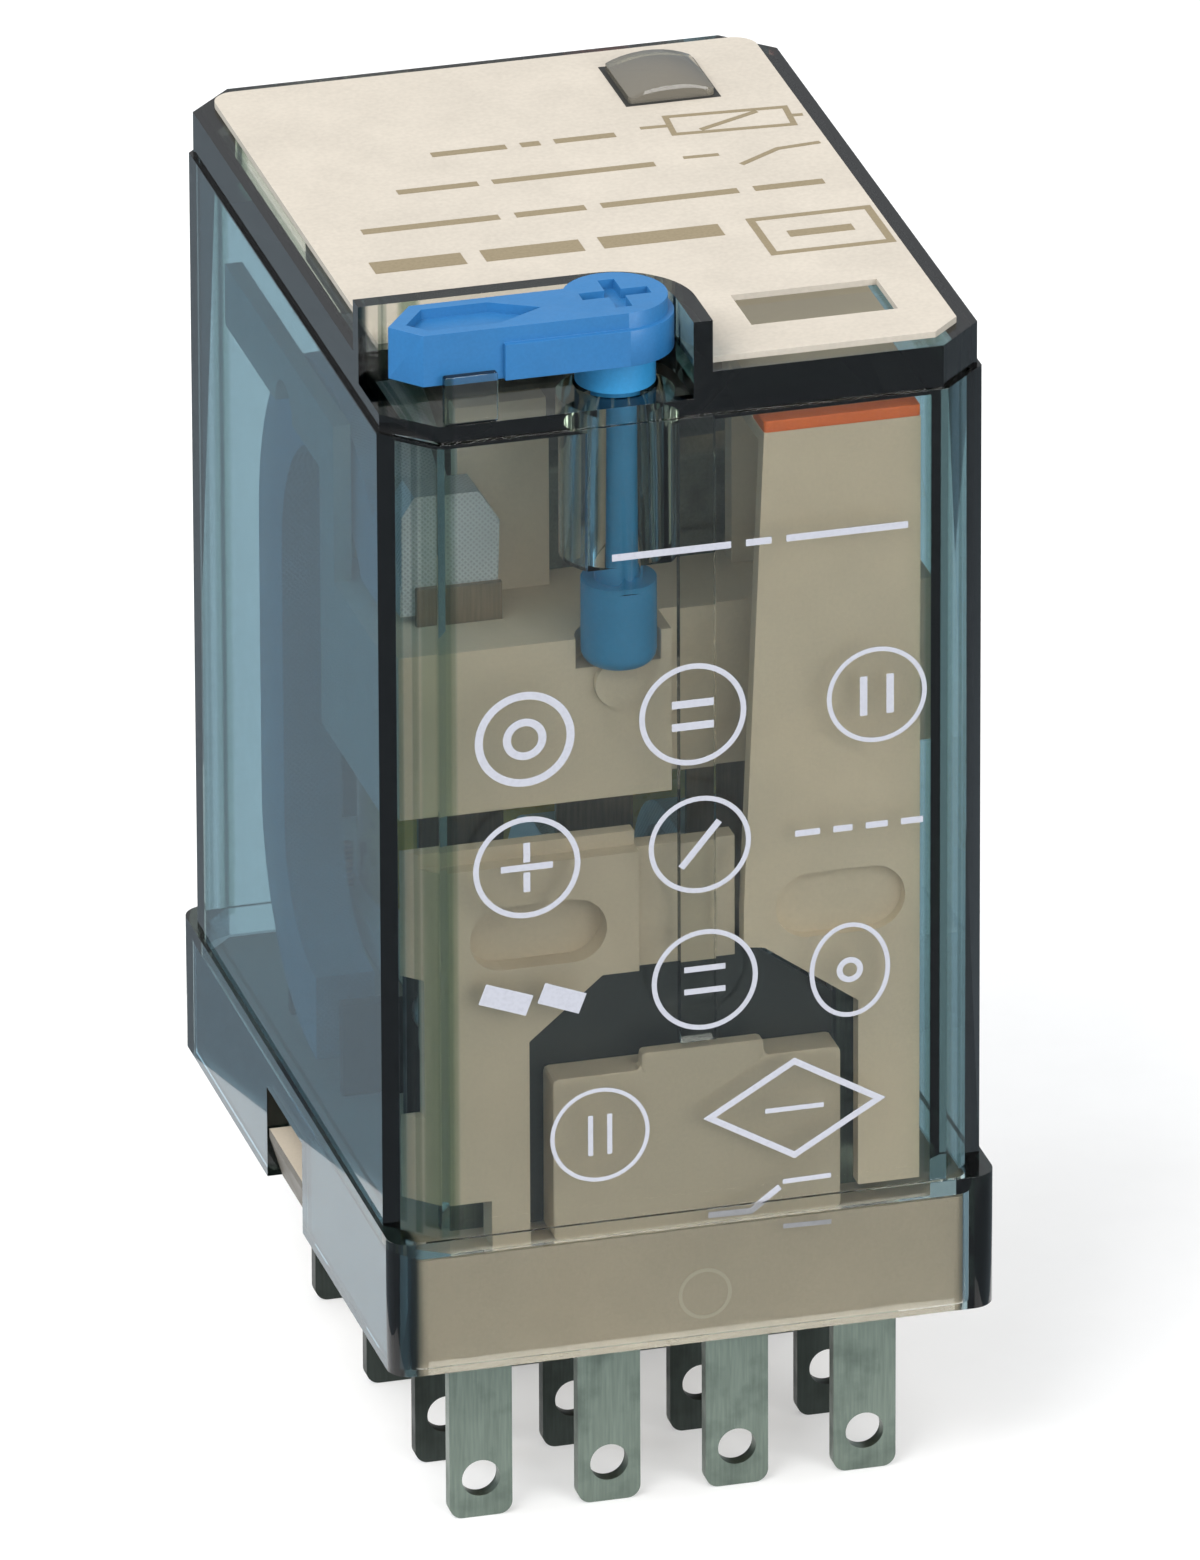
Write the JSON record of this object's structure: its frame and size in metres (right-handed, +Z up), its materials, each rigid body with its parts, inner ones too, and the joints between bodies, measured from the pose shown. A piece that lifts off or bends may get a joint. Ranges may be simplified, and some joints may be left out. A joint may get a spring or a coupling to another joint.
{
  "type": "plug in relay",
  "caption": "Small plug in relay with a clear dust cover, flat blade terminals below, a label plate and lockable test lever on top, and a flag that shows when it is pulled in.",
  "frame": {"origin": "centre of the base's underside, the face that seats on a socket", "axes": "+X to the right along the front, +Y to the back, +Z up away from the socket"},
  "size_m": [0.0208, 0.0276, 0.0438],
  "materials": {
    "clear_cover": "clear",
    "label_plate": "matt",
    "lens": "clear",
    "base_moulding": "satin",
    "lever_blue": "satin",
    "magnet_steel": "satin",
    "bobbin_moulding": "satin",
    "winding_copper": "satin",
    "winding_tape": "satin",
    "spring_bronze": "satin",
    "carrier_moulding": "satin",
    "lamp_red": "satin",
    "resistor": "satin",
    "contact_silver": "satin",
    "terminal_plating": "satin",
    "braid": "satin",
    "front_moulding": "satin",
    "flag_orange": "satin"
  },
  "bodies": {
    "housing": {"cover": "clear_cover", "label_plate": "label_plate", "indicator_lens": "lens", "base": "base_moulding", "latch_pip": "clear_cover", "yoke": "magnet_steel", "core": "magnet_steel", "bobbin": "bobbin_moulding", "coil_winding": "winding_copper", "winding_tape": "winding_tape", "return_spring": "spring_bronze", "coil_lead_1": "winding_copper", "coil_lead_2": "winding_copper", "lamp": "lamp_red", "lamp_resistor": "resistor", "nc_terminal_1": "terminal_plating", "nc_terminal_2": "terminal_plating", "nc_terminal_3": "terminal_plating", "nc_terminal_4": "terminal_plating", "nc_contact_1": "contact_silver", "nc_contact_2": "contact_silver", "nc_contact_3": "contact_silver", "nc_contact_4": "contact_silver", "no_terminal_1": "terminal_plating", "no_terminal_2": "terminal_plating", "no_terminal_3": "terminal_plating", "no_terminal_4": "terminal_plating", "no_contact_1": "contact_silver", "no_contact_2": "contact_silver", "no_contact_3": "contact_silver", "no_contact_4": "contact_silver", "com_terminal_1": "terminal_plating", "com_terminal_2": "terminal_plating", "com_terminal_3": "terminal_plating", "com_terminal_4": "terminal_plating", "flex_lead_1": "braid", "flex_lead_2": "braid", "flex_lead_3": "braid", "flex_lead_4": "braid", "coil_terminal_1": "terminal_plating", "coil_terminal_2": "terminal_plating", "front_barrier": "front_moulding", "contact_guard": "front_moulding"},
    "plunger": {"push_rod": "lever_blue"},
    "lever": {"test_lever": "lever_blue"},
    "armature_group": {"armature": "magnet_steel", "contact_carrier": "carrier_moulding", "moving_spring_1": "spring_bronze", "moving_spring_2": "spring_bronze", "moving_spring_3": "spring_bronze", "moving_spring_4": "spring_bronze", "moving_contact_1": "contact_silver", "moving_contact_2": "contact_silver", "moving_contact_3": "contact_silver", "moving_contact_4": "contact_silver"},
    "flag": {"flag_arm": "carrier_moulding", "flag_tip": "flag_orange"}
  },
  "joints": [
    {"name": "test_button_press", "type": "slide", "parent": "housing", "child": "plunger", "axis": [0, 0, -1], "range_m": [0, 0.0011], "stiffness_N_per_m": 900, "springref_m": -0.0006},
    {"name": "test_lever_turn", "type": "hinge", "parent": "plunger", "child": "lever", "pos_m": [-0.002, -0.01145, 0.0351], "axis": [0, 0, 1], "range_deg": [0, 90], "deforming": ["latch_pip"]},
    {"name": "armature_swing", "type": "hinge", "parent": "housing", "child": "armature_group", "pos_m": [0, 0.0119, 0.0274], "axis": [1, 0, 0], "range_deg": [0, 2.6], "deforming": ["flex_lead_1", "flex_lead_2", "flex_lead_3", "flex_lead_4"]},
    {"name": "flag_tilt", "type": "hinge", "parent": "housing", "child": "flag", "pos_m": [0.0068, -0.0122, 0.0046], "axis": [-1, 0, 0], "range_deg": [0, 5]}
  ],
  "couplings": [
    {"joint": "armature_swing", "follows": "test_button_press", "rad_per_m": 41.243},
    {"joint": "flag_tilt", "follows": "test_button_press", "rad_per_m": 79.323}
  ]
}
